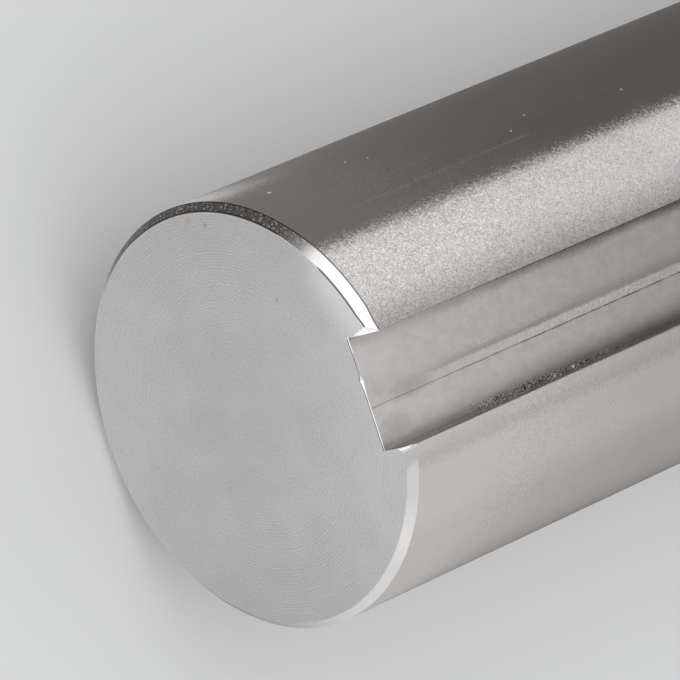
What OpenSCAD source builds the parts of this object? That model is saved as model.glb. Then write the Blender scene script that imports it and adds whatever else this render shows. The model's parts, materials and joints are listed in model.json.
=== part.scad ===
// Keyed shaft: a cut length of round steel bar with a keyway milled from end to end.
// It lies along X on its round side, keyway upwards, as it settles on level ground.
// The origin is on the ground, under the middle of the bar.

/* [Bar] */
// Diameter of the round bar, 1-7/16 in
shaft_d = 36.5125; // [25:0.0125:50]
// Length from end face to end face, 12 in
shaft_length = 304.8; // [60:0.1:900]
// Turned chamfer round each end, the same along the bar and across it
end_chamfer = 0.65; // [0.2:0.05:1.5]

/* [Keyway] */
// Width between the keyway's walls, 3/8 in
keyway_w = 9.525; // [5:0.025:14]
// Depth of the keyway down its walls, 1/8 in, half the height of a flat key
keyway_depth = 3.175; // [1.5:0.025:6]
// Bevel left on the keyway's two long edges by deburring
edge_break = 0.15; // [0.05:0.05:0.4]
// Bevel left on the keyway's floor and walls where they run out at an end
mouth_break = 0.2; // [0.05:0.05:0.5]

/* [Hidden] */
$fn = 128;

shaft_r = shaft_d / 2;
half_length = shaft_length / 2;
half_keyway = keyway_w / 2;
// Height above the bar's axis at which the keyway's walls meet the round
wall_top = sqrt(pow(shaft_r, 2) - pow(half_keyway, 2));
// Height of the keyway's floor above the bar's axis
floor_height = wall_top - keyway_depth;
// How far a cut runs on past the surface that it opens
overrun = 2;
steel = [0.70, 0.70, 0.71];

// The bar as it leaves the lathe: half its section, chamfers included, turned about its own axis
module turned_bar() {
    rotate([0, 90, 0])
        rotate_extrude()
            polygon([
                [0, -half_length],
                [shaft_r - end_chamfer, -half_length],
                [shaft_r, end_chamfer - half_length],
                [shaft_r, half_length - end_chamfer],
                [shaft_r - end_chamfer, half_length],
                [0, half_length]
            ]);
}

// The groove from end to end: square floor and walls, then lips that lean out at 45 degrees
module keyway_cut() {
    lip_z = wall_top - edge_break;
    lip_rise = edge_break + overrun;
    rotate([90, 0, 90])
        linear_extrude(shaft_length + 2 * overrun, center = true)
            polygon([
                [-half_keyway, floor_height],
                [half_keyway, floor_height],
                [half_keyway, lip_z],
                [half_keyway + lip_rise, lip_z + lip_rise],
                [-half_keyway - lip_rise, lip_z + lip_rise],
                [-half_keyway, lip_z]
            ]);
}

// The flare filed round the keyway's mouth at the +X end: walls and floor open out at 45 degrees
module mouth_cut() {
    start_x = half_length - mouth_break;
    end_x = half_length + overrun;
    spread = mouth_break + overrun;
    top_z = shaft_r + overrun;
    intersection() {
        linear_extrude(top_z)
            polygon([
                [start_x, -half_keyway],
                [end_x, -half_keyway - spread],
                [end_x, half_keyway + spread],
                [start_x, half_keyway]
            ]);
        rotate([90, 0, 0])
            linear_extrude(keyway_w + 2 * spread, center = true)
                polygon([
                    [start_x, floor_height],
                    [end_x, floor_height - spread],
                    [end_x, top_z],
                    [start_x, top_z]
                ]);
    }
}

// The whole piece, raised so that its round side touches the ground
module shaft() {
    color(steel)
        translate([0, 0, shaft_r])
            difference() {
                turned_bar();
                keyway_cut();
                mouth_cut();
                mirror([1, 0, 0]) mouth_cut();
            }
}

shaft();
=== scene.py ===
# %% [markdown]
# # A keyed shaft
# One length of ground steel bar, faced and chamfered at its ends, with a keyway milled along it.
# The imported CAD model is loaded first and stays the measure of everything: its box is kept, and its
# mounts say where the bar's axis and the keyway's floor lie, so nothing here has to be fitted by eye.

# %% Load the frame
import json
import math

import bpy
import numpy as np
from mathutils import Matrix, Vector


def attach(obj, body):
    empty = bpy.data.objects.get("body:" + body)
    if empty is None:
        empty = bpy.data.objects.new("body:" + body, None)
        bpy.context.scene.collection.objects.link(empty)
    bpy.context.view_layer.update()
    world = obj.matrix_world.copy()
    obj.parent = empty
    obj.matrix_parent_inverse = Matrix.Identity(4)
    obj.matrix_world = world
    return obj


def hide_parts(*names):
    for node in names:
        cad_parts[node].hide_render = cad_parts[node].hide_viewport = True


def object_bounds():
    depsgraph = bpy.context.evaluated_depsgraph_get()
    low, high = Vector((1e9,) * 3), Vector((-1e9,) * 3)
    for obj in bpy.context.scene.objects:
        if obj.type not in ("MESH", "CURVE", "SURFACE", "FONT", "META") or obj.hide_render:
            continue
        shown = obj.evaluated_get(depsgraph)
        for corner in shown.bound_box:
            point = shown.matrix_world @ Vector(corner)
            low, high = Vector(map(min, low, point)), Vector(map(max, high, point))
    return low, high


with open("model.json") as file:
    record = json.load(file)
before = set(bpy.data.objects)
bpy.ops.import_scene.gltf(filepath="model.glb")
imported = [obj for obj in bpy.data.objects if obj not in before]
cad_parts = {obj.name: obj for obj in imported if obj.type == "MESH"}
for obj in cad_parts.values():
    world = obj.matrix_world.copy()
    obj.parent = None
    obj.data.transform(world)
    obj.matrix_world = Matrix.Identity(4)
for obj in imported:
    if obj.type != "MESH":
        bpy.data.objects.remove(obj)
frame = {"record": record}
cad_low, cad_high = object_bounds()
MM = 0.001
mounts = {mount["name"]: mount for mount in frame["record"]["mounts"]}
axis_height = mounts["journal"]["pos_m"][2]
floor_height = mounts["keyway"]["pos_m"][2] - axis_height
near_x, far_x = cad_low.x, cad_high.x
bar_radius = min(cad_high.y, -cad_low.y)
print("bar radius", round(bar_radius / MM, 3), "mm, axis", round(axis_height / MM, 3), "mm above the ground")
print("keyway floor", round(floor_height / MM, 3), "mm above the axis")

# %% [markdown]
# ## Camera
# The photograph is a close view of one end, taken with a long lens, so lines along the bar hardly
# converge. The camera is given as a photographer would set it up: its bearing round the bar's end, its
# height above the level, how far it is rolled about its own line of sight, its angle of view, and how
# much of the bar's end the picture is to span.

# %% Camera
view_bearing = math.radians(171.5)
view_height = math.radians(47.4)
view_roll = math.radians(78.1)
view_angle = math.radians(5.25)
picture_span = 55.4 * MM
aim_right, aim_up = 7.47 * MM, 6.40 * MM

end_centre = Vector((near_x, 0.0, axis_height))
back = Vector((math.cos(view_height) * math.cos(view_bearing),
               math.cos(view_height) * math.sin(view_bearing),
               math.sin(view_height)))
level = Vector((0.0, 0.0, 1.0)).cross(back).normalized()
rise = back.cross(level)
right = math.cos(view_roll) * level + math.sin(view_roll) * rise
up = math.cos(view_roll) * rise - math.sin(view_roll) * level
aim = end_centre + aim_right * right + aim_up * up
view_distance = picture_span / 2 / math.tan(view_angle / 2)

lens = bpy.data.cameras.new("camera")
lens.angle = view_angle
camera = bpy.data.objects.new("camera", lens)
facing = Matrix((right, up, back)).transposed().to_4x4()
camera.matrix_world = Matrix.Translation(aim + view_distance * back) @ facing
bpy.context.scene.collection.objects.link(camera)
bpy.context.scene.camera = camera
print("camera", round(view_distance, 3), "m from the end, lens", round(lens.lens), "mm")

# %% [markdown]
# ## Surfaces on a grid
# Every surface here is worked out with numpy on a grid of rows and columns, as whole arrays. One helper
# turns such a grid into a mesh: each cell becomes a four-sided face, and a grid that closes on itself
# joins its last column to its first.

# %% Grid helpers
def grid_faces(rows, columns, closed):
    """Corner numbers of each cell: row r, column c is vertex r * columns + c.

    A closed grid wraps its columns."""
    r, c = np.meshgrid(np.arange(rows - 1), np.arange(columns if closed else columns - 1), indexing="ij")
    after = (c + 1) % columns
    corners = [r * columns + c, (r + 1) * columns + c, (r + 1) * columns + after, r * columns + after]
    return np.stack(corners, -1)


def mesh_object(name, points, faces):
    """A mesh object at the origin from an array of points and a list of faces."""
    mesh = bpy.data.meshes.new(name)
    mesh.from_pydata(points.reshape(-1, 3).tolist(), [], faces)
    made = bpy.data.objects.new(name, mesh)
    bpy.context.scene.collection.objects.link(made)
    return made


# %% [markdown]
# ## Node helpers
# Materials are built from nodes, and short helpers make and wire them. Wherever a helper takes a value, it
# can be given another node's output instead, and is then linked to it. The first ones are for numbers.

# %% Node helpers
def feed(tree, node, feeds):
    """Links each socket that is given an output, and sets any other value on the socket itself."""
    for socket, value in feeds.items():
        if isinstance(value, bpy.types.NodeSocket):
            tree.links.new(value, node.inputs[socket])
        else:
            node.inputs[socket].default_value = value


def add(tree, kind, feeds=None, **settings):
    """One node of that kind: settings are its own properties, feeds its sockets by name or number."""
    made = tree.nodes.new(kind)
    for name, value in settings.items():
        setattr(made, name, value)
    feed(tree, made, feeds or {})
    return made


def work(tree, operation, first, second=0.0, clamp=False):
    """The output of a Math node on one or two numbers."""
    made = add(tree, "ShaderNodeMath", {0: first, 1: second}, operation=operation, use_clamp=clamp)
    return made.outputs[0]


def chain(tree, operation, values):
    """A Math operation taken along several numbers, one after another."""
    result = values[0]
    for value in values[1:]:
        result = work(tree, operation, result, value)
    return result


def plus(tree, *values):
    """The sum of several numbers."""
    return chain(tree, "ADD", values)


def times(tree, *values):
    """The product of several numbers."""
    return chain(tree, "MULTIPLY", values)


def most(tree, *values):
    """The largest of several numbers."""
    return chain(tree, "MAXIMUM", values)


def minus(tree, first, second):
    """The first number less the second."""
    return work(tree, "SUBTRACT", first, second)


def gap(tree, first, second):
    """How far apart two numbers are: |first - second|."""
    return work(tree, "ABSOLUTE", minus(tree, first, second))


# %% [markdown]
# ## Ramps, places and colours
# The next helpers turn a distance into a share, work on places in space, and mix colours by a share. With
# them a finish reads as a recipe: a first colour, then each mark blended in where its share is not nothing.

# %% Colour helpers
def ramp(tree, value, low, high, to_low=0.0, to_high=1.0):
    """A smooth climb from to_low to to_high while value goes from low to high."""
    feeds = {"Value": value, "From Min": low, "From Max": high, "To Min": to_low, "To Max": to_high}
    return add(tree, "ShaderNodeMapRange", feeds, interpolation_type="SMOOTHSTEP").outputs["Result"]


def vector_work(tree, operation, first, second=(0.0, 0.0, 0.0)):
    """The vector that a Vector Math node makes of one or two vectors."""
    return add(tree, "ShaderNodeVectorMath", {0: first, 1: second}, operation=operation).outputs[0]


def stretched(tree, vector, factor):
    """A vector times a number."""
    return add(tree, "ShaderNodeVectorMath", {0: vector, "Scale": factor}, operation="SCALE").outputs[0]


def split(tree, vector):
    """The X, Y and Z of a vector."""
    return add(tree, "ShaderNodeSeparateXYZ", {"Vector": vector}).outputs[:]


def noise(tree, dimensions, **feeds):
    """The value of a Noise Texture in one or three dimensions."""
    return add(tree, "ShaderNodeTexNoise", feeds, noise_dimensions=dimensions).outputs["Fac"]


def blend(tree, share, first, second):
    """The colour between first and second by share."""
    return add(tree, "ShaderNodeMix", {0: share, 6: first, 7: second}, data_type="RGBA").outputs[2]


def new_material(name, **plain):
    """A material with one Principled shader, some of its sockets set; returns material, tree, shader."""
    made = bpy.data.materials.new(name)
    made.use_nodes = True
    shader = made.node_tree.nodes["Principled BSDF"]
    feed(made.node_tree, shader, {socket.replace("_", " "): value for socket, value in plain.items()})
    return made, made.node_tree, shader


# %% [markdown]
# ## Floor and daylight
# The bar lies on a plain pale floor under an even white sky, which gives the soft shadow under it. The
# floor is left out of mirror-like reflections, because the steel is to show the tent below instead.

# %% Floor and sky
floor_reach = 12.0
sky_strength = 0.95
PALE = (0.80, 0.80, 0.80, 1.0)
PALER = (0.83, 0.83, 0.825, 1.0)
SKY = (0.93, 0.94, 0.95, 1.0)

corners = np.array([[-1, -1, 0], [1, -1, 0], [1, 1, 0], [-1, 1, 0]], float) * floor_reach
floor = mesh_object("floor", corners, [(0, 1, 2, 3)])
paint, tree, shader = new_material("pale_floor", Roughness=0.9)
place = add(tree, "ShaderNodeTexCoord").outputs["Object"]
mottle = noise(tree, "3D", Vector=place, Scale=9.0, Detail=4.0)
feed(tree, shader, {"Base Color": blend(tree, mottle, PALE, PALER)})
floor.data.materials.append(paint)
floor.visible_glossy = False

sky = bpy.data.worlds.new("sky")
sky.use_nodes = True
feed(sky.node_tree, sky.node_tree.nodes["Background"], {"Color": SKY, "Strength": sky_strength})
bpy.context.scene.world = sky
bpy.context.scene.view_settings.view_transform = "Standard"
print("floor", 2 * floor_reach, "m across")

# %% [markdown]
# ## Light tent
# Bare steel has no colour of its own to speak of: what the eye sees is its surroundings. A photographer
# stands a tent of white cloth round such a part and lights the cloth unevenly, which draws the bright and
# dark bands along the round. The tent here is a tube round the bar's axis, closed at the front. How bright
# it is depends on the turn round the axis (in degrees from straight up towards +Y) and on the place along
# it. Beside the bar there are panels that fade along it and one bright band overhead. In front of the end
# there is a strip that only the chamfer mirrors, then plain cloth for the end face, and far out on the +Y
# side a bright panel for the filed corner of the keyway.

# %% Tent glow
# Pairs of a turn in degrees and what the cloth has at that turn; lengths are in millimetres.
SIDE_PANELS = [(-180, 0.27), (-158, 0.29), (-150, 0.45), (-134, 0.595), (-118, 0.68), (-103, 0.72),
               (-95, 0.755), (-72, 0.87), (-57, 0.89), (-50, 0.89), (-47, 0.76), (-44, 0.76), (-41, 0.84),
               (-8, 0.98), (6, 0.9), (18, 0.5), (58, 0.80), (66, 0.76), (75, 0.25), (90, 0.235),
               (110, 0.245), (140, 0.26), (180, 0.27)]
PANEL_LOSS = [(-180, 0.46), (-154, 0.46), (-118, 0.34), (-95, 0.31), (-72, 0.25), (-50, 0.25),
              (-34, 0.27), (-8, 0.60), (76, 0.41), (180, 0.46)]
LOSS_LENGTH = [(-60, 13), (-36, 13), (-14, 9.5), (15, 9.5), (40, 16)]
OVERHEAD_BAND = [(10, 0.30), (20, 0.50), (30, 0.73), (38, 0.92), (46, 0.99), (53, 1.0), (62, 0.97),
                 (67, 0.90), (75, 0.2)]
CHAMFER_STRIP = [(-180, 0.66), (-165, 0.615), (-150, 0.70), (-132, 0.97), (-120, 0.98), (-107, 1.0),
                 (-93, 1.05), (-77, 1.26), (-60, 1.02), (-40, 1.0), (-20, 1.4), (0, 1.9), (66, 1.95),
                 (72, 0.23), (88, 0.14), (130, 0.14), (156, 0.15), (167, 0.5), (173, 0.66), (180, 0.66)]
STRIP_X = [(-180, -100), (-132, -137), (-60, -225), (27, -261), (70, -232), (131, -163), (180, -85)]
# Pairs of a distance from the bar's middle and the brightness of plain cloth there.
PLAIN_CLOTH = [(230, 0.655), (310, 0.835)]
# The near end of the round mirrors this place on the cloth to the camera.
mirrored_end = near_x + 107 * MM
high_glint = 0.34
low_glint = 0.08
rim_glow = 0.36
low_glow = 1.1
corner_glow = 1.8


def smooth_step(value, low, high):
    """0 below low, 1 above high, and a smooth climb between: 3t^2 - 2t^3."""
    t = np.clip((value - low) / (high - low), 0, 1)
    return t * t * (3 - 2 * t)


def window(value, starts, full, ends, gone):
    """1 from full to ends, 0 before starts and after gone, smooth between."""
    return smooth_step(value, starts, full) * (1 - smooth_step(value, ends, gone))


def between(first, second, share):
    """first where share is 0, second where it is 1."""
    return first * (1 - share) + second * share


def read_off(table, place):
    """The value at each place, along straight lines between a table's pairs."""
    places, values = zip(*table)
    return np.interp(place, places, values)


def beside_bar(turn, x):
    """Glow and pleats beside the bar: fading panels with two small lights below, and the band overhead.

    At each distance along its way a panel keeps 1 - loss * (1 - exp(-distance / length)) of its light."""
    end_gap = (x - mirrored_end) / MM
    distance = np.maximum(end_gap, 0)
    below = np.abs(turn)
    kept = 1 - read_off(PANEL_LOSS, turn) * (1 - np.exp(-distance / read_off(LOSS_LENGTH, turn)))
    glint = np.where(turn > 0, high_glint, low_glint) * np.exp(-np.maximum(end_gap + 1.5, 0) / 2)
    glint = glint * smooth_step(below, 132, 152) * smooth_step(x / MM, -90, -60)
    rim_light = rim_glow * smooth_step(below, 162, 175) * (1 - smooth_step(x / MM, -72, -52))
    panels = read_off(SIDE_PANELS, turn) * kept + glint + rim_light
    overhead = read_off(OVERHEAD_BAND, turn) * (1 + 0.1 * np.exp(-distance / 5))
    in_band = window(turn, 0, 32, 66, 78)
    pleats = overhead * in_band * (0.68 + 0.27 * np.exp(-distance / 20))
    return between(panels, overhead, in_band), pleats


def before_end(turn, x):
    """Glow in front of the end: the chamfer's strip, and plain cloth off it.

    One more light lies low on the -Y side, and falls off as exp(-distance^2)."""
    off_strip = smooth_step(read_off(STRIP_X, turn) - x / MM, 45, 85)
    low_light = low_glow * np.exp(-((turn + 120) / 14) ** 2 - ((x / MM + 204) / 18) ** 2)
    plain = read_off(PLAIN_CLOTH, np.abs(x) / MM)
    return between(read_off(CHAMFER_STRIP, turn), plain, off_strip) + low_light


def tent_glow(turn, x):
    """Brightness of the whole tent's cloth, and of its pleats."""
    in_front = 1 - smooth_step(x / MM, -165, -110)
    in_back = smooth_step(x / MM, 220, 300)
    on_panel = (1 - smooth_step(x / MM, -440, -360)) * window(turn, 45, 75, 140, 165)
    beside, pleats = beside_bar(turn, x)
    glow = between(beside, before_end(turn, x), in_front)
    glow = between(glow, read_off(PLAIN_CLOTH, np.abs(x) / MM), in_back)
    return between(glow, corner_glow, on_panel), pleats * (1 - in_front) * (1 - in_back)


print("overhead band brightest at", max(OVERHEAD_BAND, key=lambda pair: pair[1])[0], "degrees")

# %% [markdown]
# ## The tent's mesh
# The tube is finest beside the bar, where the bands have soft edges. Its first row is drawn in to a pinhole,
# which closes the front. Glow and pleats are stored on its points.

# %% Tent mesh
tent_radius = 120 * MM
tent_reach = 820
fine_reach = 120
front_hole = 1 * MM
tent_x = np.concatenate([np.linspace(-tent_reach, -fine_reach, 71)[:-1],
                         np.linspace(-fine_reach, fine_reach, 97)[:-1],
                         np.linspace(fine_reach, tent_reach, 36)]) * MM
tent_turn = np.linspace(-180, 180, 361)[:-1]
turn_grid, x_grid = np.meshgrid(tent_turn, tent_x)
radius_grid = np.where(x_grid > tent_x[0], tent_radius, front_hole)
tent_points = np.stack([x_grid,
                        radius_grid * np.sin(np.radians(turn_grid)),
                        radius_grid * np.cos(np.radians(turn_grid)) + axis_height], -1)
tent_faces = grid_faces(len(tent_x), len(tent_turn), closed=True).reshape(-1, 4).tolist()
tent = mesh_object("tent", tent_points, tent_faces)
for label, values in zip(("glow", "pleats"), tent_glow(turn_grid, x_grid)):
    stored = tent.data.attributes.new(label, "FLOAT", "POINT")
    stored.data.foreach_set("value", values.astype(np.float32).ravel())
print("tent of", len(tent_faces), "panels")

# %% [markdown]
# ## The tent's cloth
# The band overhead hangs in fine pleats, waves both round the tent and along it, and dim cloth looks a
# little warmer than bright cloth. The cloth glows, and has some body colour as well, which lets the
# renderer's noise filter tell the steel's grain from noise; the sky lights that body, so the glow is cut by
# as much. Only mirror-like rays see the tent, so the floor stays plain.

# %% Tent cloth
pleats_round = 90
pleat_length = 10 * MM
cloth_body = 0.35
sky_on_cloth = 0.82
WHITE_CLOTH = (1.0, 1.0, 1.0, 1.0)
WARM_CLOTH = (1.04, 0.99, 0.95, 1.0)


def from_axis(tree):
    """Object coordinates with their origin moved to the bar's axis by a Mapping node."""
    place = add(tree, "ShaderNodeTexCoord").outputs["Object"]
    return add(tree, "ShaderNodeMapping", {"Vector": place, "Location": (0.0, 0.0, -axis_height)}).outputs[0]


def stored_value(tree, label):
    """A number that the mesh carries on its points."""
    return add(tree, "ShaderNodeAttribute", attribute_name=label).outputs["Fac"]


cloth, tree, shader = new_material("tent_cloth", Roughness=1.0, Specular_IOR_Level=0.0,
                                   Emission_Strength=1 - sky_on_cloth * cloth_body)
x, y, z = split(tree, from_axis(tree))
wave_round = work(tree, "COSINE", times(tree, work(tree, "ARCTAN2", y, z), pleats_round))
wave_along = work(tree, "COSINE", times(tree, x, 2 * math.pi / pleat_length))
glow = stored_value(tree, "glow")
shine = plus(tree, glow, times(tree, stored_value(tree, "pleats"), wave_round, wave_along))
tint = blend(tree, ramp(tree, glow, 0.9, 0.1), WHITE_CLOTH, WARM_CLOTH)
lit = stretched(tree, tint, shine)
feed(tree, shader, {"Emission Color": lit, "Base Color": stretched(tree, lit, cloth_body)})
cloth.cycles.emission_sampling = "NONE"
tent.data.materials.append(cloth)
tent.visible_camera = False
tent.visible_diffuse = False
tent.visible_shadow = False
tent.visible_transmission = False
print("made", cloth.name, "with", pleats_round, "pleats round the tent")

# %% [markdown]
# ## The bar's section
# Seen end on, the bar is a circle with a square-bottomed notch. The outline is one closed line: the long
# way round the circle, over the broken edge into the keyway, down its wall, across its floor, and back up.
# The floor isn't quite flat on the real bar. Two passes of the cutter left a hair-line groove and a low
# ledge beside it, so the outline has them too, with its points crowded where they are.

# %% Section outline
half_keyway = 9.525 / 2 * MM
edge_break = 0.15 * MM
lip_spread = 0.118 * MM
wall_top = math.sqrt(bar_radius ** 2 - half_keyway ** 2)
lip_height = wall_top - edge_break
lip_turn = math.asin((half_keyway + lip_spread) / bar_radius)

witness_y = -1.2 * MM
witness_depth = 0.008 * MM
witness_half = 0.05 * MM
ledge_y = -0.40 * MM
ledge_rise = 0.012 * MM
ledge_fade = 0.5 * MM


def floor_relief(y):
    """Height over the nominal floor: a V groove at the witness line, and a ledge beside it.

    The ledge starts at the groove and dies away towards +Y."""
    groove = -witness_depth * np.clip(1 - np.abs(y - witness_y) / witness_half, 0, 1)
    ledge = ledge_rise * window(y, witness_y, witness_y + witness_half, ledge_y, ledge_y + ledge_fade)
    return groove + ledge


def rounded(start, corner, stop, steps):
    """A rounded corner from start to stop: (1-t)^2 start + 2t(1-t) corner + t^2 stop, for each t in steps."""
    t = steps[:, None]
    return (1 - t) ** 2 * start + 2 * t * (1 - t) * corner + t ** 2 * stop


def on_circle(radius, turn):
    """Points (y, z) at a radius and a turn from the top: radius * (sin, cos)."""
    return np.asarray(radius)[..., None] * np.stack([np.sin(turn), np.cos(turn)], -1)


arc_turn = np.linspace(lip_turn, 2 * math.pi - lip_turn, 401)
lip_steps = np.linspace(0, 1, 9)[1:]
wall_steps = np.linspace(0, 1, 25)[1:]
even_y = np.linspace(-half_keyway, half_keyway, 97)
crowded_y = witness_y + witness_half * np.linspace(-1.5, 1.5, 13)
floor_y = np.unique(np.round(np.concatenate([even_y, crowded_y]), 8))[1:]

arc = on_circle(bar_radius, arc_turn)
low_edge = np.array([-half_keyway, wall_top])
low_lip = rounded(arc[-1], low_edge, low_edge - np.array([0.0, edge_break]), lip_steps)
low_wall = np.stack([np.full(len(wall_steps), -half_keyway),
                     lip_height + wall_steps * (floor_height - lip_height)], -1)
key_floor = np.stack([floor_y, floor_height + floor_relief(floor_y)], -1)
high_wall = np.stack([np.full(len(wall_steps), half_keyway),
                      floor_height + wall_steps * (lip_height - floor_height)], -1)
high_lip = high_wall[-1] + lip_steps[:-1, None] * (arc[0] - high_wall[-1])
outline = np.concatenate([arc, low_lip, low_wall, key_floor, high_wall, high_lip])

# Each stretch of the outline starts at the last point of the stretch before it.
ROUND, LIP, WALL, FLOOR = range(4)
lengths = [len(arc) - 1, len(low_lip), len(low_wall), len(key_floor), len(high_wall), len(high_lip) + 1]
stretch = np.repeat([ROUND, LIP, WALL, FLOOR, WALL, LIP], lengths)
columns = len(outline)
print("section of", columns, "points, keyway walls", round((wall_top - floor_height) / MM, 3), "mm deep")

# %% [markdown]
# ## The ends
# A lathe leaves a chamfer round each end, and a file takes the burr off the keyway's mouth. Both are the
# same move: each point of the outline draws back from the end face by its own amount. On the round that
# is the turned chamfer, dressed wider by hand beside the keyway's +Y corner. On the keyway's walls the
# file went deep at the top corners and died out downwards. On its floor it only touched the edge here and
# there, with one nick. So an end needs two arrays: how far along the bar each point's bevel runs, and
# where the point lies on the end face.

# %% End bevels
end_chamfer = 0.65 * MM
dressed_chamfer = 0.81 * MM
face_radius = bar_radius - end_chamfer
bare_edge = 0.02 * MM
wall_rise = lip_height - floor_height
# Where a wall's flare starts above the floor, and how wide it is at the top.
high_starts, high_top = 0.58 * MM, 0.62 * MM
low_starts, low_top = 1.9 * MM, 0.60 * MM
# Pairs of a place across the floor and the width of the bevel or nick there, in millimetres.
TOUCHED = [(-4.7, 0.02), (-4.3, 0.03), (-3.6, 0.05), (0.0, 0.05), (1.6, 0.04), (1.75, 0.004), (3.4, 0.004),
           (3.7, 0.05), (4.76, 0.06)]
NICK = [(0.15, 0), (0.8, 0.08), (1.15, 0.17), (1.4, 0.06), (1.7, 0)]


def chamfer_width(turn):
    """Width of the chamfer at a turn from the top: the lathe's, and the file's from 22 to 40 degrees."""
    dressing = [(18.5, end_chamfer), (22, dressed_chamfer), (40, dressed_chamfer), (55, end_chamfer)]
    return read_off(dressing, np.degrees(turn))


def file_flare(above, starts, top):
    """Width of the flare on a wall: a hair below where it starts, then a straight climb to the top."""
    return bare_edge + (top - bare_edge) * np.clip((above - starts) / (wall_rise - starts), 0, 1)


def on_rim(y):
    """The point of the end face's rim at this y: z = sqrt(radius^2 - y^2)."""
    return np.array([y, math.sqrt(face_radius ** 2 - y ** 2)])


def face_wall(y, above, bevel, corner):
    """A wall's line on the end face: its height goes from the bevelled floor to the corner on the rim."""
    return np.stack([y, between(floor_height - bevel, corner[1] - bare_edge, above / wall_rise)], -1)


high_above = high_wall[:, 1] - floor_height
low_above = low_wall[:, 1] - floor_height
high_flare = file_flare(high_above, high_starts, high_top)
low_flare = file_flare(low_above, low_starts, low_top)
floor_bevel = (read_off(TOUCHED, floor_y / MM) + read_off(NICK, floor_y / MM)) * MM
high_corner = on_rim(half_keyway + high_flare[-1])
low_corner = on_rim(-half_keyway - low_flare[0])

face_turn = np.linspace(math.atan2(*high_corner), 2 * math.pi + math.atan2(*low_corner), len(arc_turn))
face_arc = on_circle(bar_radius - chamfer_width(face_turn), face_turn)
face_high = face_wall(half_keyway + high_flare, high_above, floor_bevel[-1], high_corner)
face_low = face_wall(-half_keyway - low_flare, low_above, floor_bevel[0], low_corner)
face_floor = key_floor - np.stack([np.zeros(len(floor_y)), floor_bevel], -1)
face_floor[-1, 0] = half_keyway + bare_edge
lip_drop = np.array([0.0, -0.5 * bare_edge])
face_low_lip = low_corner + lip_steps[:, None] * lip_drop
face_high_lip = high_corner + (1 - lip_steps[:-1, None]) * lip_drop
face_outline = np.concatenate([face_arc, face_low_lip, face_low, face_floor, face_high, face_high_lip])

reach = np.concatenate([chamfer_width(arc_turn),
                        np.full(len(low_lip), end_chamfer),
                        file_flare(low_above, low_starts, end_chamfer),
                        np.maximum(floor_bevel, bare_edge),
                        file_flare(high_above, high_starts, end_chamfer),
                        np.full(len(high_lip), end_chamfer)])
print("end face of radius", round(face_radius / MM, 3), "mm, widest bevel", round(reach.max() / MM, 3), "mm")

# %% [markdown]
# ## One skin from end to end
# The whole bar is one grid. Its columns follow the outline, and its rows run from the middle of one end
# face, out over the face to its edge, down the bevel, along the bar and back in over the other face. Rows
# are crowded beside the edges, so that edge marks stay narrow. At each end the last row shrinks to one
# point, and a fan of triangles closes it.

# %% Rows of the skin
hub_radius = 11 * MM
# Turns, in degrees, at which the stretches of the outline start on the hub's ring.
hub_starts = np.radians([48, 311, 312, 333, 387, 407, 408])
hub_turn = np.interp(np.arange(columns), np.cumsum([0] + lengths), hub_starts)
hub = on_circle(hub_radius, hub_turn)

edge_strip = 0.10 * MM
face_strip = 0.20 * MM
hub_shares = (0.2, 0.5, 0.8, 1.0)
face_shares = (0.35, 0.7, 1 - face_strip / (face_radius - hub_radius))
bevel_shares = (0, edge_strip / end_chamfer, 0.5, 1 - edge_strip / end_chamfer, 1)
body_steps = np.concatenate([[edge_strip], np.geomspace(0.4, 152, 22) * MM])


def end_rows(x_end, inward):
    """Rows from the face's middle to the bar's body: hub rings, face, bevel, each a share of the way."""
    flat = np.full(columns, x_end)
    rings = [np.column_stack([flat, share * hub]) for share in hub_shares]
    face = [np.column_stack([flat, between(hub, face_outline, share)]) for share in face_shares]
    bevel = [np.column_stack([x_end + inward * share * reach, between(face_outline, outline, share)])
             for share in bevel_shares]
    body = [np.column_stack([x_end + inward * np.maximum(step, reach + share * edge_strip), outline])
            for share, step in zip(np.linspace(1, 2, len(body_steps)), body_steps)]
    return rings, face, bevel, body


near_rings, near_face, near_bevel, near_body = end_rows(near_x, 1)
far_rings, far_face, far_bevel, far_body = end_rows(far_x, -1)
rows = near_rings + near_face + near_bevel + near_body + (far_rings + far_face + far_bevel + far_body)[::-1]
skin = np.stack(rows)
skin[..., 2] += axis_height
poles = np.array([[near_x, 0.0, axis_height], [far_x, 0.0, axis_height]])
print("skin of", len(rows), "rows by", columns, "columns")

# %% [markdown]
# ## The mesh
# Faces take their finish from where they lie on the grid: rows say face, bevel or body, and columns say
# round, lip, wall or floor. Edges that turn by more than 12 degrees stay crisp, and the rest is smooth.

# %% Shaft mesh
crisp_turn = math.radians(12)
pole_first = len(skin) * columns
last_row = (len(skin) - 1) * columns
cells = grid_faces(len(skin), columns, closed=True)
around = np.arange(columns)
after = (around + 1) % columns
near_fan = np.stack([np.full(columns, pole_first), around, after], -1)
far_fan = np.stack([np.full(columns, pole_first + 1), last_row + after, last_row + around], -1)
points = np.concatenate([skin.reshape(-1, 3), poles])
faces = cells.reshape(-1, 4).tolist() + near_fan.tolist() + far_fan.tolist()
shaft = mesh_object("keyed_shaft", points, faces)

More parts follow.
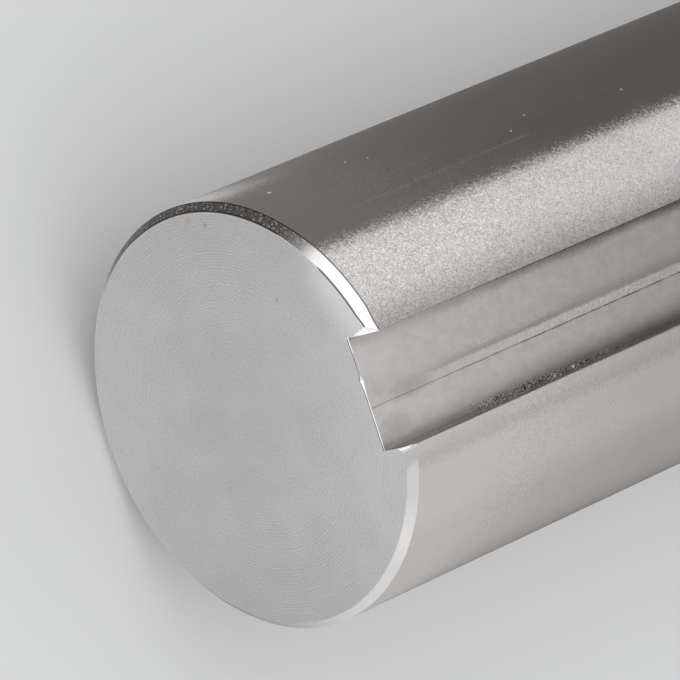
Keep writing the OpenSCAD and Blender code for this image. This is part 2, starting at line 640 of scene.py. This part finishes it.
FACED, TURNED, FILED, GROUND, MILLED = range(5)
flat_rows = len(near_rings) + len(near_face)
bevel_rows = len(near_bevel) - 1
body_rows = len(skin) - 1 - 2 * (flat_rows + bevel_rows)
row_kind = np.repeat([FACED, TURNED, GROUND, TURNED, FACED],
                     [flat_rows, bevel_rows, body_rows, bevel_rows, flat_rows])[:, None]
body_finish = np.array([GROUND, GROUND, MILLED, MILLED])[stretch]
body_finish[-lengths[-1]:] = FILED
bevel_finish = np.where(stretch == ROUND, TURNED, FILED)
finish = np.where(row_kind == FACED, FACED, np.where(row_kind == TURNED, bevel_finish, body_finish))
finish = np.concatenate([finish.ravel(), np.full(2 * columns, FACED)])
shaft.data.polygons.foreach_set("material_index", finish.astype(np.int32))
shaft.data.shade_smooth()
shaft.data.set_sharp_from_angle(angle=crisp_turn)
print("shaft of", len(faces), "faces,", np.bincount(finish).tolist(), "by finish")

# %% [markdown]
# ## What the mesh carries
# Patterns that follow the surface need a map of it, as cloth needs a grain. The map is the skin unrolled, in
# metres: way along the bar by way round its section. A number on the points marks the edges where the
# lathe's tool left a hair of burr, and sets where the face's painted highlight lies beside them. It is full
# on the +Y side, faint below and on the -Y side, partly rubbed off where the chamfer was dressed by hand, and
# strongest at the end of the keyway's floor.

# %% Skin map and edge marks
faint_mark = 0.15
rubbed_off = 0.62
floor_mark = 2.5


def map_corners(travels, girths):
    """Map coordinates for one corner of every cell."""
    return np.stack([travels, np.broadcast_to(girths, travels.shape)], -1)


steps_round = np.linalg.norm(np.roll(outline, -1, axis=0) - outline, axis=1)
girth = np.concatenate([[0.0], np.cumsum(steps_round)])
inset = bar_radius - np.hypot(skin[..., 1], skin[..., 2] - axis_height)
travel = skin[..., 0] + np.where(skin[..., 0] < 0, -inset, inset)
next_travel = np.roll(travel, -1, axis=1)
cell_map = np.stack([map_corners(travel[:-1], girth[:-1]), map_corners(travel[1:], girth[:-1]),
                     map_corners(next_travel[1:], girth[1:]), map_corners(next_travel[:-1], girth[1:])], 2)
fan_map = np.zeros((2 * columns * 3, 2))
skin_map = shaft.data.uv_layers.new(name="skin")
skin_map.data.foreach_set("uv", np.concatenate([cell_map.reshape(-1, 2), fan_map]).astype(np.float32).ravel())

face_edges = [flat_rows, len(skin) - 1 - flat_rows]
rim_edges = [flat_rows + bevel_rows, len(skin) - 1 - flat_rows - bevel_rows]
arc_degrees = np.degrees(arc_turn)
marks = np.zeros((len(skin), columns))
marks[face_edges + rim_edges, :len(arc)] = between(1, faint_mark, smooth_step(arc_degrees, 100, 130))
marks[face_edges, :len(arc)] *= 1 - rubbed_off * window(arc_degrees, 35, 38, 49, 54)
marks[face_edges] += np.where(stretch == FLOOR, floor_mark, 0.0)
edge_mark = shaft.data.attributes.new("edge_mark", "FLOAT", "POINT")
edge_mark.data.foreach_set("value", np.append(marks.ravel(), [0.0, 0.0]).astype(np.float32))
print("section measures", round(girth[-1] / MM, 2), "mm round,", np.count_nonzero(marks), "points marked")

# %% [markdown]
# ## Shared finishes
# Some effects belong to more than one finish, so each is a node group made once: grain drawn out in one
# direction, the rings that a turning tool leaves, and scattered specks. Grain is noise on a place divided
# by the grain's size. Rings are a sine of the distance from the axis, a little uneven. Specks are the
# middles of a cell pattern, each with its own size, and a share of the cells stays empty.

# %% Finish groups
VECTOR, NUMBER = "NodeSocketVector", "NodeSocketFloat"
ring_height = 0.27
ring_unevenness = 0.16
ring_waver = 0.45 * MM
speck_sharpness = 14.0


def new_group(name, inputs, outputs):
    """An empty shader group with named sockets: inputs by name and kind, outputs all numbers."""
    group = bpy.data.node_groups.new(name, "ShaderNodeTree")
    for label, kind in inputs.items():
        group.interface.new_socket(label, in_out="INPUT", socket_type=kind)
    for label in outputs:
        group.interface.new_socket(label, in_out="OUTPUT", socket_type=NUMBER)
    given = group.nodes.new("NodeGroupInput").outputs
    return group, given, group.nodes.new("NodeGroupOutput")


drawn_grain, given, handed = new_group(
    "drawn_grain", {"Place": VECTOR, "Size": VECTOR, "Detail": NUMBER}, ["Grain"])
scaled = vector_work(drawn_grain, "DIVIDE", given["Place"], given["Size"])
grained = noise(drawn_grain, "3D", Vector=scaled, Scale=1.0, Detail=given["Detail"], Roughness=0.55)
feed(drawn_grain, handed, {"Grain": grained})

tool_rings, given, handed = new_group("tool_rings", {"Place": VECTOR, "Pitch": NUMBER}, ["Rings", "Radius"])
_, across, upward = split(tool_rings, given["Place"])
from_middle = add(tool_rings, "ShaderNodeCombineXYZ", {"X": across, "Y": upward}).outputs[0]
radius = add(tool_rings, "ShaderNodeVectorMath", {0: from_middle}, operation="LENGTH").outputs["Value"]
count = work(tool_rings, "DIVIDE", radius, given["Pitch"])
waver = noise(tool_rings, "3D", Vector=given["Place"], Scale=1 / ring_waver, Detail=2.0)
drift = noise(tool_rings, "1D", W=count, Scale=0.3, Detail=1.0)
odd = noise(tool_rings, "1D", W=count, Scale=1.1, Detail=2.0)
wave = work(tool_rings, "SINE", times(tool_rings, plus(tool_rings, count, drift, waver), 2 * math.pi))
uneven = times(tool_rings, minus(tool_rings, odd, 0.5), ring_unevenness)
feed(tool_rings, handed, {"Rings": plus(tool_rings, times(tool_rings, wave, ring_height), uneven),
                          "Radius": radius})

specks, given, handed = new_group(
    "specks", {"Place": VECTOR, "Spacing": VECTOR, "Size": NUMBER, "Rarity": NUMBER}, ["Speck"])
scaled = vector_work(specks, "DIVIDE", given["Place"], given["Spacing"])
cell = add(specks, "ShaderNodeTexVoronoi", {"Vector": scaled, "Scale": 1.0, "Randomness": 1.0}).outputs
lucky = add(specks, "ShaderNodeSeparateColor", {"Color": cell["Color"]}).outputs
chosen = work(specks, "GREATER_THAN", lucky["Red"], given["Rarity"])
inside = minus(specks, times(specks, given["Size"], lucky["Green"]), cell["Distance"])
spot = work(specks, "MULTIPLY", inside, speck_sharpness, clamp=True)
feed(specks, handed, {"Speck": times(specks, spot, chosen)})
print("made", len(bpy.data.node_groups), "node groups")

# %% [markdown]
# ## Using the shared finishes
# A short call for each keeps the finishes readable. Sizes are given in millimetres along each axis. A
# pattern on the skin's map has no third axis, so one large number stands there.

# %% Finish helpers
FLAT = 1000


def mm(*lengths):
    """Lengths in millimetres, as metres."""
    return tuple(length * MM for length in lengths)


def grain(tree, place, size, detail):
    """Grain of this size; detail is how many finer layers it has."""
    feeds = {"Place": place, "Size": mm(*size), "Detail": detail}
    return add(tree, "ShaderNodeGroup", feeds, node_tree=drawn_grain).outputs["Grain"]


def rings_round(tree, place, pitch):
    """Tool rings of this pitch, and the distance from the axis that they are drawn by."""
    made = add(tree, "ShaderNodeGroup", {"Place": place, "Pitch": pitch}, node_tree=tool_rings)
    return made.outputs["Rings"], made.outputs["Radius"]


def scatter(tree, place, spacing, size, rarity):
    """Specks in cells of this spacing; size is a share of a cell, and rarity the share of empty ones."""
    feeds = {"Place": place, "Spacing": mm(*spacing), "Size": size, "Rarity": rarity}
    return add(tree, "ShaderNodeGroup", feeds, node_tree=specks).outputs["Speck"]


def bumped(tree, height, depth, **normal):
    """The normal of a surface that is raised by depth where height is 1."""
    feeds = {"Height": height, "Strength": 1.0, "Distance": depth, **normal}
    return add(tree, "ShaderNodeBump", feeds).outputs["Normal"]


print("shared by the finishes:", drawn_grain.name, tool_rings.name, specks.name)

# %% [markdown]
# ## Single marks
# Other marks lie at one place: the burr along a turned edge, a stain, or a dirty stretch of the round.
# Each is a climb from none to full by distance, from a point or round the section.

# %% Mark helpers
def burr_line(tree, starts, full):
    """The dark hair line of burr along a turned edge, where the mark that the mesh carries nears 1."""
    return ramp(tree, stored_value(tree, "edge_mark"), starts, full, 0.0, 0.9)


def stain(tree, place, where, size, strength):
    """A soft spot: strength at the place called where, falling to nothing at distance size."""
    offset = add(tree, "ShaderNodeVectorMath", {0: place, 1: where}, operation="DISTANCE").outputs["Value"]
    return ramp(tree, offset, size, 0.3 * size, 0.0, strength)


def girth_at(degrees):
    """Way round the section, on the skin's map, at a turn from the top: radius * angle, from the lip on."""
    return bar_radius * (math.radians(degrees) - lip_turn)


def girth_ramp(tree, low, high):
    """A climb from 0 to 1 between two turns round the bar, in degrees, read off the skin's map."""
    _, round_way, _ = split(tree, add(tree, "ShaderNodeUVMap", uv_map="skin").outputs["UV"])
    return ramp(tree, round_way, girth_at(low), girth_at(high))


print("120 degrees lies", round(girth_at(120) / MM, 2), "mm round the section")

# %% [markdown]
# ## Ground round
# A centreless grinder leaves a fine, even grain: countless facets about a seventh of a millimetre wide,
# each leaning its own way by a degree or so. They are far too small to model, but they break every
# reflection into sparkle, so each cell of a cell pattern on the skin's own map leans the normal. One faint
# scratch runs along the bar from handling, and specks of dust lie on its +Y side. Dust isn't metal, so it
# takes the metallic value down.

# %% Ground round
STEEL = (0.62, 0.602, 0.595, 1.0)
DULL = (0.595, 0.577, 0.569, 1.0)
WORN = (0.555, 0.537, 0.529, 1.0)
# Pale dust, and the colour of the painted highlight inside the face's edges.
DUST_AND_HIGHLIGHT = (0.86, 0.86, 0.85, 1.0)
PIT = (0.30, 0.29, 0.28, 1.0)
BURR = (0.05, 0.047, 0.045, 1.0)
facet_size = mm(0.14, 0.15, FLAT)
facet_lean = 0.042
scratch_turn, scratch_middle = 50.4, near_x + 18 * MM
# Single specks: millimetres in from the near end, turn in degrees, and width in millimetres.
PLACED_DUST = [(4.3, 70.0, 0.26), (13.2, 69.7, 0.13), (15.0, 67.0, 0.13), (28.0, 54.0, 0.15),
               (31.0, 58.0, 0.12)]

ground, tree, shader = new_material("ground_round", Metallic=1.0)
skin_place = add(tree, "ShaderNodeUVMap", uv_map="skin").outputs["UV"]
along, round_way, _ = split(tree, skin_place)
facet_place = vector_work(tree, "DIVIDE", skin_place, facet_size)
facet = add(tree, "ShaderNodeTexVoronoi", {"Vector": facet_place, "Scale": 1.0},
            voronoi_dimensions="2D").outputs["Color"]
lean = stretched(tree, vector_work(tree, "SUBTRACT", facet, (0.5, 0.5, 0.5)), facet_lean)
level_normal = add(tree, "ShaderNodeNewGeometry").outputs["Normal"]
leaning = vector_work(tree, "NORMALIZE", vector_work(tree, "ADD", level_normal, lean))
facet_shade = add(tree, "ShaderNodeSeparateColor", {"Color": facet}).outputs["Blue"]
fine = grain(tree, skin_place, (0.3, 0.3, FLAT), 1.0)
cloud = grain(tree, skin_place, (14, 5, FLAT), 3.0)
broken = grain(tree, skin_place, (1.6, 9, FLAT), 3.0)
dust = scatter(tree, skin_place, (2.4, 2.4, FLAT), 0.10, 0.55)
pit = scatter(tree, skin_place, (3.1, 2.3, FLAT), 0.06, 0.3)
scratch = times(tree, ramp(tree, gap(tree, round_way, girth_at(scratch_turn)), 0.26 * MM, 0.0),
                ramp(tree, broken, 0.30, 0.6, 0.01, 0.06),
                ramp(tree, gap(tree, along, scratch_middle), 13 * MM, 9 * MM))
dusty = times(tree, girth_ramp(tree, 43, 48), girth_ramp(tree, 150, 120))
powder = most(tree, times(tree, dust, dusty, 0.7), scratch)
for inward, degrees, width in PLACED_DUST:
    where = (near_x + inward * MM, girth_at(degrees), 0.0)
    powder = most(tree, powder, stain(tree, skin_place, where, width * MM, 0.75))
tone = blend(tree, ramp(tree, cloud, 0.35, 0.65), STEEL, DULL)
tone = blend(tree, ramp(tree, facet_shade, 0.0, 1.0, 0.0, 0.24), tone, WORN)
tone = blend(tree, pit, tone, PIT)
tone = blend(tree, powder, tone, DUST_AND_HIGHLIGHT)
tone = blend(tree, burr_line(tree, 0.5, 0.95), tone, BURR)
feed(tree, shader, {"Base Color": tone,
                    "Metallic": minus(tree, 1.0, powder),
                    "Roughness": ramp(tree, fine, 0.2, 0.8, 0.06, 0.09),
                    "Normal": bumped(tree, fine, 0.004 * MM, Normal=leaning)})
print("made", ground.name)

# %% [markdown]
# ## Faced end
# A lathe tool moves across the end while the bar turns, and leaves rings about a quarter of a millimetre
# apart. They are drawn by distance from the axis, so they are true circles. The metal between them is
# mottled. A painted sheen makes it a little lighter along one line through the middle than across it, which
# is the cosine of twice the turn, made from the squares and the product of the two coordinates. Painted
# light makes it lighter again beside the bright part of the chamfer, and bright flecks of painted highlight
# lie just inside its edges. The near end also has three small stains, one of them rusty.

# %% Faced end
FACE_LIGHT = (0.705, 0.698, 0.699, 1.0)
FACE_DARK = (0.525, 0.518, 0.519, 1.0)
# Colour of the painted light beside the chamfer's bright part.
FACE_PAINTED_LIGHT = (0.90, 0.893, 0.894, 1.0)
RUST = (0.50, 0.36, 0.24, 1.0)
face_pitch = 0.245 * MM
# The turn that sets the line of the painted sheen, then the middle of the chamfer's bright part, beside which
# the face has painted light.
painted_sheen_turn = math.radians(-27)
bright_turn = math.radians(24)
# Stains on the near face: their y and z from the axis and their size in millimetres, and their strength.
DARK_STAINS = [(16.27, 2.39, 0.30, 0.5), (9.02, 7.84, 0.30, 0.35)]
RUST_STAIN = (16.91, 0.57, 0.42, 0.32)


def face_stain(tree, place, stain_y, stain_z, size, strength):
    """A stain on the near face."""
    return stain(tree, place, (near_x, stain_y * MM, stain_z * MM), size * MM, strength)


faced, tree, shader = new_material("faced_end", Metallic=1.0)
place = from_axis(tree)
_, across, upward = split(tree, place)
ring, radius = rings_round(tree, place, face_pitch)
cloud = grain(tree, place, (0.9, 0.9, 0.9), 3.0)
mottle = grain(tree, place, (0.20, 0.20, 0.20), 2.0)
patchy = grain(tree, place, (3.5, 3.5, 3.5), 1.0)
pit = scatter(tree, place, (3, 3, 3), 0.06, 0.3)
# Painted sheen: the face is made lighter along one line through the middle, as a turned face shines.
squares = minus(tree, times(tree, upward, upward), times(tree, across, across))
painted_sheen = plus(tree, times(tree, squares, math.cos(painted_sheen_turn) / face_radius ** 2),
           times(tree, across, upward, 2.0, math.sin(painted_sheen_turn) / face_radius ** 2))
cut = times(tree, ramp(tree, cloud, 0.42, 0.60, 0.15, 1.0), ramp(tree, radius, 4 * MM, 12 * MM, 0.35, 1.0))
share = plus(tree, times(tree, ring, cut), times(tree, mottle, 0.9), times(tree, patchy, 0.35),
             ramp(tree, radius, 0.0, 12 * MM, 0.12, 0.0))
share = minus(tree, share, times(tree, painted_sheen, 0.22))
tone = blend(tree, ramp(tree, share, 0.17, 1.08), FACE_LIGHT, FACE_DARK)
# Painted light: the face near its rim is made lighter beside the bright part of the chamfer.
off_bright = gap(tree, work(tree, "ARCTAN2", across, upward), bright_turn)
painted_light_beside_chamfer = times(tree, ramp(tree, radius, 13.5 * MM, 17.5 * MM, 0.0, 0.75),
                       ramp(tree, off_bright, math.radians(24), math.radians(8)))
tone = blend(tree, painted_light_beside_chamfer, tone, FACE_PAINTED_LIGHT)
dark_stains = [face_stain(tree, place, *values) for values in DARK_STAINS]
tone = blend(tree, most(tree, pit, *dark_stains), tone, PIT)
tone = blend(tree, face_stain(tree, place, *RUST_STAIN), tone, RUST)
edge = stored_value(tree, "edge_mark")
# Painted highlight: pale flecks in a narrow strip just inside the marked edges.
painted_edge_highlight = times(tree, ramp(tree, edge, 0.15, 0.25), ramp(tree, edge, 0.65, 0.5))
tone = blend(tree, times(tree, painted_edge_highlight, ramp(tree, mottle, 0.40, 0.60, 0.0, 0.75)), tone, DUST_AND_HIGHLIGHT)
tone = blend(tree, burr_line(tree, 0.45, 0.8), tone, BURR)
feed(tree, shader, {"Base Color": tone,
                    "Roughness": ramp(tree, mottle, 0.2, 0.8, 0.29, 0.35),
                    "Normal": bumped(tree, ring, 0.003 * MM)})
print("made", faced.name, "with rings", round(face_pitch / MM, 3), "mm apart")

# %% [markdown]
# ## Turned chamfer
# The chamfer was turned with a finer feed, so its rings only vary its gloss. Handling has scuffed it. On
# the +Y side, below the bright part, grime and dust have settled on it, and beside the keyway's -Y corner
# it is darker with painted shade.

# %% Turned chamfer
CHAMFER_LIGHT = (0.64, 0.625, 0.62, 1.0)
CHAMFER_DARK = (0.60, 0.585, 0.58, 1.0)
# Colour of the painted shade beside the keyway's -Y corner.
CHAMFER_PAINTED_SHADE = (0.48, 0.468, 0.464, 1.0)
GRIME = (0.32, 0.31, 0.30, 1.0)
chamfer_pitch = 0.10 * MM

turned, tree, shader = new_material("turned_chamfer", Metallic=1.0)
place = from_axis(tree)
ring, _ = rings_round(tree, place, chamfer_pitch)
scuff = grain(tree, place, (0.13, 0.16, 0.16), 2.0)
dirty = times(tree, girth_ramp(tree, 40, 52), girth_ramp(tree, 140, 118))
dust = times(tree, scatter(tree, place, (0.20, 0.20, 0.20), 0.7, 0.5), dirty, 0.30)
tone = blend(tree, ramp(tree, scuff, 0.3, 0.7), CHAMFER_LIGHT, CHAMFER_DARK)
# Painted shade: darker beside the keyway's -Y corner.
tone = blend(tree, girth_ramp(tree, 338.5, 342), tone, CHAMFER_PAINTED_SHADE)
tone = blend(tree, times(tree, dirty, ramp(tree, scuff, 0.42, 0.58)), tone, GRIME)
tone = blend(tree, dust, tone, DUST_AND_HIGHLIGHT)
tone = blend(tree, burr_line(tree, 0.25, 0.65), tone, BURR)
feed(tree, shader, {"Base Color": tone,
                    "Metallic": minus(tree, 1.0, dust),
                    "Roughness": ramp(tree, ring, -0.5, 0.5, 0.18, 0.24),
                    "Normal": bumped(tree, scuff, 0.002 * MM)})
print("made", turned.name, "with rings", round(chamfer_pitch / MM, 3), "mm apart")

# %% [markdown]
# ## Milled keyway
# The keyway's floor is smoother than the round. The cutter's second pass left a lighter ledge beside the
# hair-line groove, with fine ticks across it. Beyond the ledge the floor is darker, with painted shade in a
# crease at its edge, and has a patch of bright flecks. Painted light makes the +Y half of the floor brighter
# at the end, and handling left two soft smudges on the other half. All of it is drawn by distance: across the
# keyway, up from its floor, and in from the nearer end.

# %% Milled keyway
MILLED_LIGHT = (0.65, 0.632, 0.625, 1.0)
MILLED_DARK = (0.57, 0.552, 0.544, 1.0)
MILLED_EDGE = (0.60, 0.59, 0.58, 1.0)
# Dark colour of the smudges, of the floor beyond the ledge and of the painted shade in its crease.
SMUDGE_AND_SHADE = (0.40, 0.386, 0.378, 1.0)
LEDGE = (0.63, 0.613, 0.606, 1.0)
# Colour of the painted light near the open end.
PAINTED_END_LIGHT = (0.69, 0.672, 0.665, 1.0)
half_length = (far_x - near_x) / 2
ledge_edge = 0.07 * MM
# Smudges: their middle in from the end and across, their reach in both, in millimetres, and strength.
SMUDGES = [(2.0, -3.1, 1.5, 0.9, 0.5), (4.6, -0.7, 2.6, 0.8, 0.6)]


def nudged(value, noise, reach):
    """A distance that wanders by a noise, up to half of reach either way, so no border is ruler-straight."""
    return plus(tree, value, times(tree, minus(tree, noise, 0.5), reach))


def smudge(middle_in, middle_y, reach_in, reach_y, strength):
    """A soft oval patch: strength in its middle, nothing beyond its reach in from the end and across."""
    part_in = work(tree, "DIVIDE", minus(tree, nudged(inward, soft, 3 * MM), middle_in * MM), reach_in * MM)
    part_y = work(tree, "DIVIDE", minus(tree, drifting_y, middle_y * MM), reach_y * MM)
    off_middle = plus(tree, times(tree, part_in, part_in), times(tree, part_y, part_y))
    return ramp(tree, off_middle, 2.0, 0.0, 0.0, strength)


milled, tree, shader = new_material("milled_keyway", Specular_IOR_Level=0.0, Specular_Tint=MILLED_EDGE)
place = from_axis(tree)
x, y, z = split(tree, place)
above = minus(tree, z, floor_height)
inward = minus(tree, half_length, work(tree, "ABSOLUTE", x))
cloud = grain(tree, place, (6, 2, 2), 3.0)
comb = grain(tree, place, (0.22, 1.2, 2), 2.0)
rough = grain(tree, place, (0.2, 0.2, 0.2), 2.0)
soft = grain(tree, place, (1.1, 0.7, 0.7), 2.0)
combed_y = nudged(nudged(y, comb, 0.35 * MM), rough, 0.30 * MM)
drifting_y = nudged(nudged(y, cloud, 0.8 * MM), rough, 0.5 * MM)

dark_beyond_ledge = times(tree, plus(tree, ramp(tree, drifting_y, 0.7 * MM, -0.3 * MM, 0.0, 0.5),
                         ramp(tree, drifting_y, 2.4 * MM, 0.0, 0.0, 0.3)),
              ramp(tree, inward, 0.0, 30 * MM, 0.3, 1.0))
# Painted shade: a dark line in the crease at the ledge's edge.
painted_crease_shade = times(tree, ramp(tree, drifting_y, 0.05 * MM, -0.25 * MM),
               ramp(tree, inward, 3 * MM, 10 * MM, 0.0, 0.35),
               ramp(tree, inward, 30 * MM, 18 * MM, 0.2, 1.0))
off_ledge = ramp(tree, combed_y, -0.54 * MM, -0.34 * MM)
dark_beyond_ledge = work(tree, "MULTIPLY", plus(tree, dark_beyond_ledge, painted_crease_shade), off_ledge, clamp=True)
ledge = times(tree, ramp(tree, y, witness_y, witness_y + ledge_edge),
              ramp(tree, combed_y, -0.34 * MM, -0.54 * MM),
              ramp(tree, inward, 5 * MM, 30 * MM, 0.0, 0.9))
ticks = times(tree, ledge, ramp(tree, rough, 0.48, 0.62, 0.0, 0.8))
flecks = times(tree, ramp(tree, combed_y, -0.05 * MM, 0.20 * MM), ramp(tree, drifting_y, 0.9 * MM, 0.4 * MM),
               ramp(tree, inward, 8 * MM, 13 * MM), ramp(tree, inward, 27 * MM, 20 * MM),
               ramp(tree, rough, 0.46, 0.64, 0.0, 0.3))
# Painted light: the +Y half of the floor is brighter near the open end.
painted_end_light = times(tree, ramp(tree, inward, 8 * MM, 0.0, 0.0, 0.5), ramp(tree, drifting_y, 0.3 * MM, 2.5 * MM))
smudges = [smudge(*values) for values in SMUDGES]
mottled = plus(tree, times(tree, rough, 0.2), times(tree, comb, 0.2), times(tree, soft, 0.6))
tone = blend(tree, ramp(tree, mottled, 0.3, 0.7), MILLED_LIGHT, MILLED_DARK)
tone = blend(tree, painted_end_light, tone, PAINTED_END_LIGHT)
tone = blend(tree, most(tree, dark_beyond_ledge, *smudges), tone, SMUDGE_AND_SHADE)
tone = blend(tree, ledge, tone, LEDGE)
tone = blend(tree, most(tree, ticks, flecks), tone, DUST_AND_HIGHLIGHT)
print("floor of", milled.name, "drawn,", len(SMUDGES), "smudges")

# %% [markdown]
# ## Painted shade and grit in the keyway
# Painted shade darkens the floor towards its two corners, less so near the open ends, and fills the
# hair-line groove with the same black. Fine grit has caught in the corner under the -Y wall and lies
# slantwise
# up it: black crumbs, pale ones that aren't metal, and two brighter than the rest at the near end. The wall
# behind is blotched with painted shade, dark under its rim and behind the filed corner. The steel is seen
# at a flat angle there and would mirror the tent whatever its colour, so all of that takes the metallic value
# down too.

# %% Painted shade and grit
# Black of the painted shade in the keyway's corners and groove and on the filed lip.
SHADE_BLACK = (0.12, 0.112, 0.106, 1.0)
GRIT = (0.64, 0.60, 0.52, 1.0)
# Black of the soot crumbs, and of the painted shade on the -Y wall.
SOOT_AND_SHADE = (0.03, 0.028, 0.025, 1.0)
slant = math.radians(42)
crumb_size = mm(0.14, 0.14, 1.4)
# The two bright crumbs: millimetres in from the near end, and up from the floor.
BRIGHT_CRUMBS = [(19.8, 0.72), (22.7, 0.12)]

# Painted shade: the floor darkens towards both corners, more so further in from the ends.
low_corner_shade = times(tree, ramp(tree, drifting_y, -2.3 * MM, -5.4 * MM),
                 ramp(tree, inward, 0.0, 25 * MM, 0.16, 0.69))
high_corner_shade = times(tree, ramp(tree, drifting_y, 3.35 * MM, 4.4 * MM),
                  ramp(tree, inward, 0.0, 40 * MM, 0.25, 0.85))
# Painted shade: a dark line along the +Y corner of the floor.
corner = ramp(tree, y, 4.45 * MM, 4.7 * MM, 0.0, 0.8)
corner_shade = work(tree, "MULTIPLY", most(tree, low_corner_shade, high_corner_shade, corner),
            ramp(tree, above, 1.0 * MM, 3.2 * MM, 1.0, 0.85), clamp=True)
# Painted shade: the hair-line groove is darkened along its line.
groove = times(tree, ramp(tree, gap(tree, nudged(y, comb, 0.05 * MM), witness_y), 0.09 * MM, 0.02 * MM),
               ramp(tree, inward, 2 * MM, 25 * MM, 0.15, 0.9),
               ramp(tree, soft, 0.38, 0.6, 0.45, 1.0))
tone = blend(tree, corner_shade, tone, SHADE_BLACK)
tone = blend(tree, groove, tone, SHADE_BLACK)

heap = plus(tree, nudged(y, soft, 0.5 * MM), times(tree, work(tree, "MINIMUM", inward, 33 * MM), 0.03))
caught = times(tree, ramp(tree, heap, -3.72 * MM, -4.02 * MM),
               ramp(tree, inward, 9.2 * MM, 12.2 * MM),
               ramp(tree, nudged(inward, soft, 6 * MM), 21 * MM, 33 * MM, 1.0, 0.35),
               ramp(tree, nudged(above, soft, 1.5 * MM), 0.8 * MM, 2.6 * MM, 1.0, 0.45))
slanted = add(tree, "ShaderNodeMapping", {"Vector": place, "Rotation": (0.0, slant, 0.0)}).outputs[0]
soot = times(tree, scatter(tree, slanted, (0.105, 0.12, 0.75), 0.95, 0.3), caught)
grit = times(tree, scatter(tree, slanted, (0.10, 0.115, 0.70), 0.95, 0.6), caught)
# Painted shade on the -Y wall: mottled, and darker behind the filed corner.
blotched_shade = times(tree, ramp(tree, grain(tree, slanted, (0.16, 0.18, 1.1), 2.0), 0.42, 0.62, 0.0, 0.55),
               ramp(tree, above, 0.05 * MM, 0.4 * MM))
shade_behind_flare = times(tree, ramp(tree, inward, 1.7 * MM, 0.7 * MM),
                     ramp(tree, above, 0.5 * MM, 1.4 * MM, 0.0, 0.75))
blotched_shade = times(tree, most(tree, blotched_shade, shade_behind_flare), ramp(tree, y, 0.0, -4.0 * MM))
# Painted shade under the rim of the -Y wall.
rim_shade = times(tree, ramp(tree, above, 1.8 * MM, 2.9 * MM, 0.0, 0.85),
                  ramp(tree, inward, 0.0, 5 * MM, 0.75, 1.0),
                  ramp(tree, inward, 10 * MM, 30 * MM, 1.0, 0.75))
tone = blend(tree, most(tree, times(tree, soot, 0.95), rim_shade, blotched_shade), tone, SOOT_AND_SHADE)
tone = blend(tree, times(tree, grit, 0.75), tone, GRIT)

crumb_place = vector_work(tree, "DIVIDE", slanted, crumb_size)
for crumb_in, crumb_up in BRIGHT_CRUMBS:
    spot = Vector((near_x + crumb_in * MM, -half_keyway, floor_height + crumb_up * MM))
    spot.rotate(Matrix.Rotation(slant, 3, "Y"))
    bright_crumb = stain(tree, crumb_place, tuple(np.divide(spot, crumb_size)), 1.2, 0.9)
    tone = blend(tree, bright_crumb, tone, DUST_AND_HIGHLIGHT)
    grit = most(tree, grit, bright_crumb)

# Grit, soot and the painted shade take the metallic value down, so that their colour shows.
crumbs_and_shade = most(tree, times(tree, grit, 0.8), times(tree, soot, 0.8), times(tree, rim_shade, 0.5), blotched_shade)
wall_polish = ramp(tree, above, 0.02 * MM, 0.10 * MM, 1.0, 0.35)
height = plus(tree, times(tree, rough, 0.3), times(tree, plus(tree, grit, soot), 2.0))
feed(tree, shader, {"Base Color": tone,
                    "Metallic": minus(tree, 1.0, crumbs_and_shade),
                    "Roughness": times(tree, ramp(tree, rough, 0.2, 0.8, 0.28, 0.33), wall_polish),
                    "Normal": bumped(tree, height, 0.004 * MM)})
print("made", milled.name, "with", len(BRIGHT_CRUMBS), "bright crumbs")

# %% [markdown]
# ## Filed edges
# The flare at the keyway's mouth and the +Y lip along it were dressed with a fine file. At the mouth they
# are the brightest metal on the bar, with short scuffs, and less metallic, so that their pale colour adds a
# painted highlight. Further in, the lip is darkened with painted shade.

# %% Filed edges
FILED_LIGHT = (0.86, 0.85, 0.84, 1.0)
FILED_DARK = (0.72, 0.705, 0.695, 1.0)

filed, tree, shader = new_material("filed_edge", Metallic=1.0)
place = from_axis(tree)
x, _, _ = split(tree, place)
inward = minus(tree, half_length, work(tree, "ABSOLUTE", x))
scuff = grain(tree, place, (0.15, 0.15, 0.15), 2.0)
tone = blend(tree, ramp(tree, scuff, 0.3, 0.7), FILED_LIGHT, FILED_DARK)
# Painted shade: the lip darkens further in from the mouth.
tone = blend(tree, ramp(tree, inward, 1 * MM, 25 * MM, 0.0, 0.65), tone, SHADE_BLACK)
# Less metallic near the mouth, so that the pale colour adds a painted highlight there.
feed(tree, shader, {"Base Color": tone,
                    "Metallic": ramp(tree, inward, 1 * MM, 16 * MM, 0.7, 1.0),
                    "Roughness": ramp(tree, scuff, 0.2, 0.8, 0.20, 0.32),
                    "Normal": bumped(tree, scuff, 0.006 * MM)})
print("made", filed.name)

# %% [markdown]
# ## The skin in place
# The skin stands for the CAD solid: it takes the five finishes, rides on the only body and hides the plain
# node.

# %% Finish
for finish_material in (faced, turned, filed, ground, milled):
    shaft.data.materials.append(finish_material)
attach(shaft, "root")
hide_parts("shaft")
